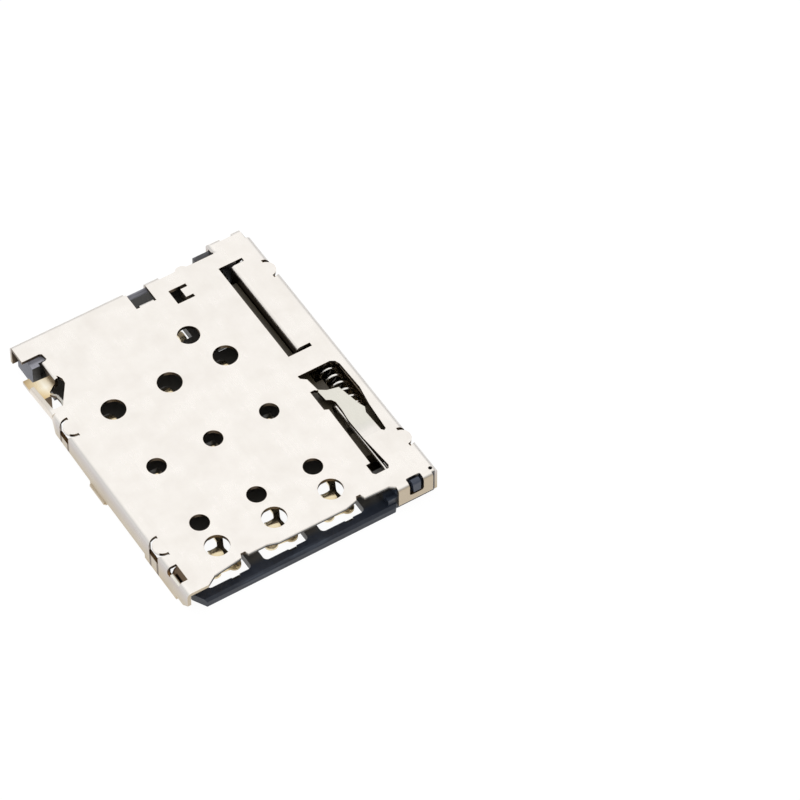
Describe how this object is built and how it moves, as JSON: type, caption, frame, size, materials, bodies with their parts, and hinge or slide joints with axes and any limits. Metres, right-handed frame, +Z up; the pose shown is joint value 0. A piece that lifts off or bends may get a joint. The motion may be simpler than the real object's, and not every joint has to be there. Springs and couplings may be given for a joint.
{
  "type": "sim card socket",
  "caption": "Low push-push socket for a small phone card: folded metal shell over a black moulding, spring contacts, slider with a coil spring and a cam pin.",
  "frame": {"origin": "under the middle of the outline, on the solder plane", "axes": "+Z up from the board, +Y the way the card goes in, +X the side of the push-push mechanism"},
  "size_m": [0.0114, 0.0146, 0.0013],
  "materials": {
    "shell_metal": "bright satin",
    "black_plastic": "matt moulded",
    "contact_gold": "thin gold plating",
    "plate_gold": "thin gold plating",
    "slider_plastic": "matt moulded",
    "spring_steel": "bright drawn wire"
  },
  "bodies": {
    "socket": {"shell": "shell_metal", "housing": "black_plastic", "contact_c1": "contact_gold", "contact_c2": "contact_gold", "contact_c3": "contact_gold", "contact_c5": "contact_gold", "contact_c6": "contact_gold", "contact_c7": "contact_gold", "channel_plate": "plate_gold", "switch_spring": "plate_gold", "switch_contact": "contact_gold", "coil_spring": "spring_steel"},
    "slider": {"slider": "slider_plastic"},
    "cam_pin": {"cam_pin": "spring_steel"}
  },
  "joints": [
    {"name": "slider_slide", "type": "slide", "parent": "socket", "child": "slider", "axis": [0, 1, 0], "range_m": [0, 0.00145], "stiffness_N_per_m": 60, "deforming": ["coil_spring"]},
    {"name": "cam_pin_swing", "type": "hinge", "parent": "socket", "child": "cam_pin", "pos_m": [0.00414, -0.00596, 0.00085], "axis": [0, 0, 1], "range_deg": [0, 6.08]}
  ],
  "couplings": [
    {"joint": "cam_pin_swing", "follows": "slider_slide", "rad_per_m": 73.1}
  ]
}
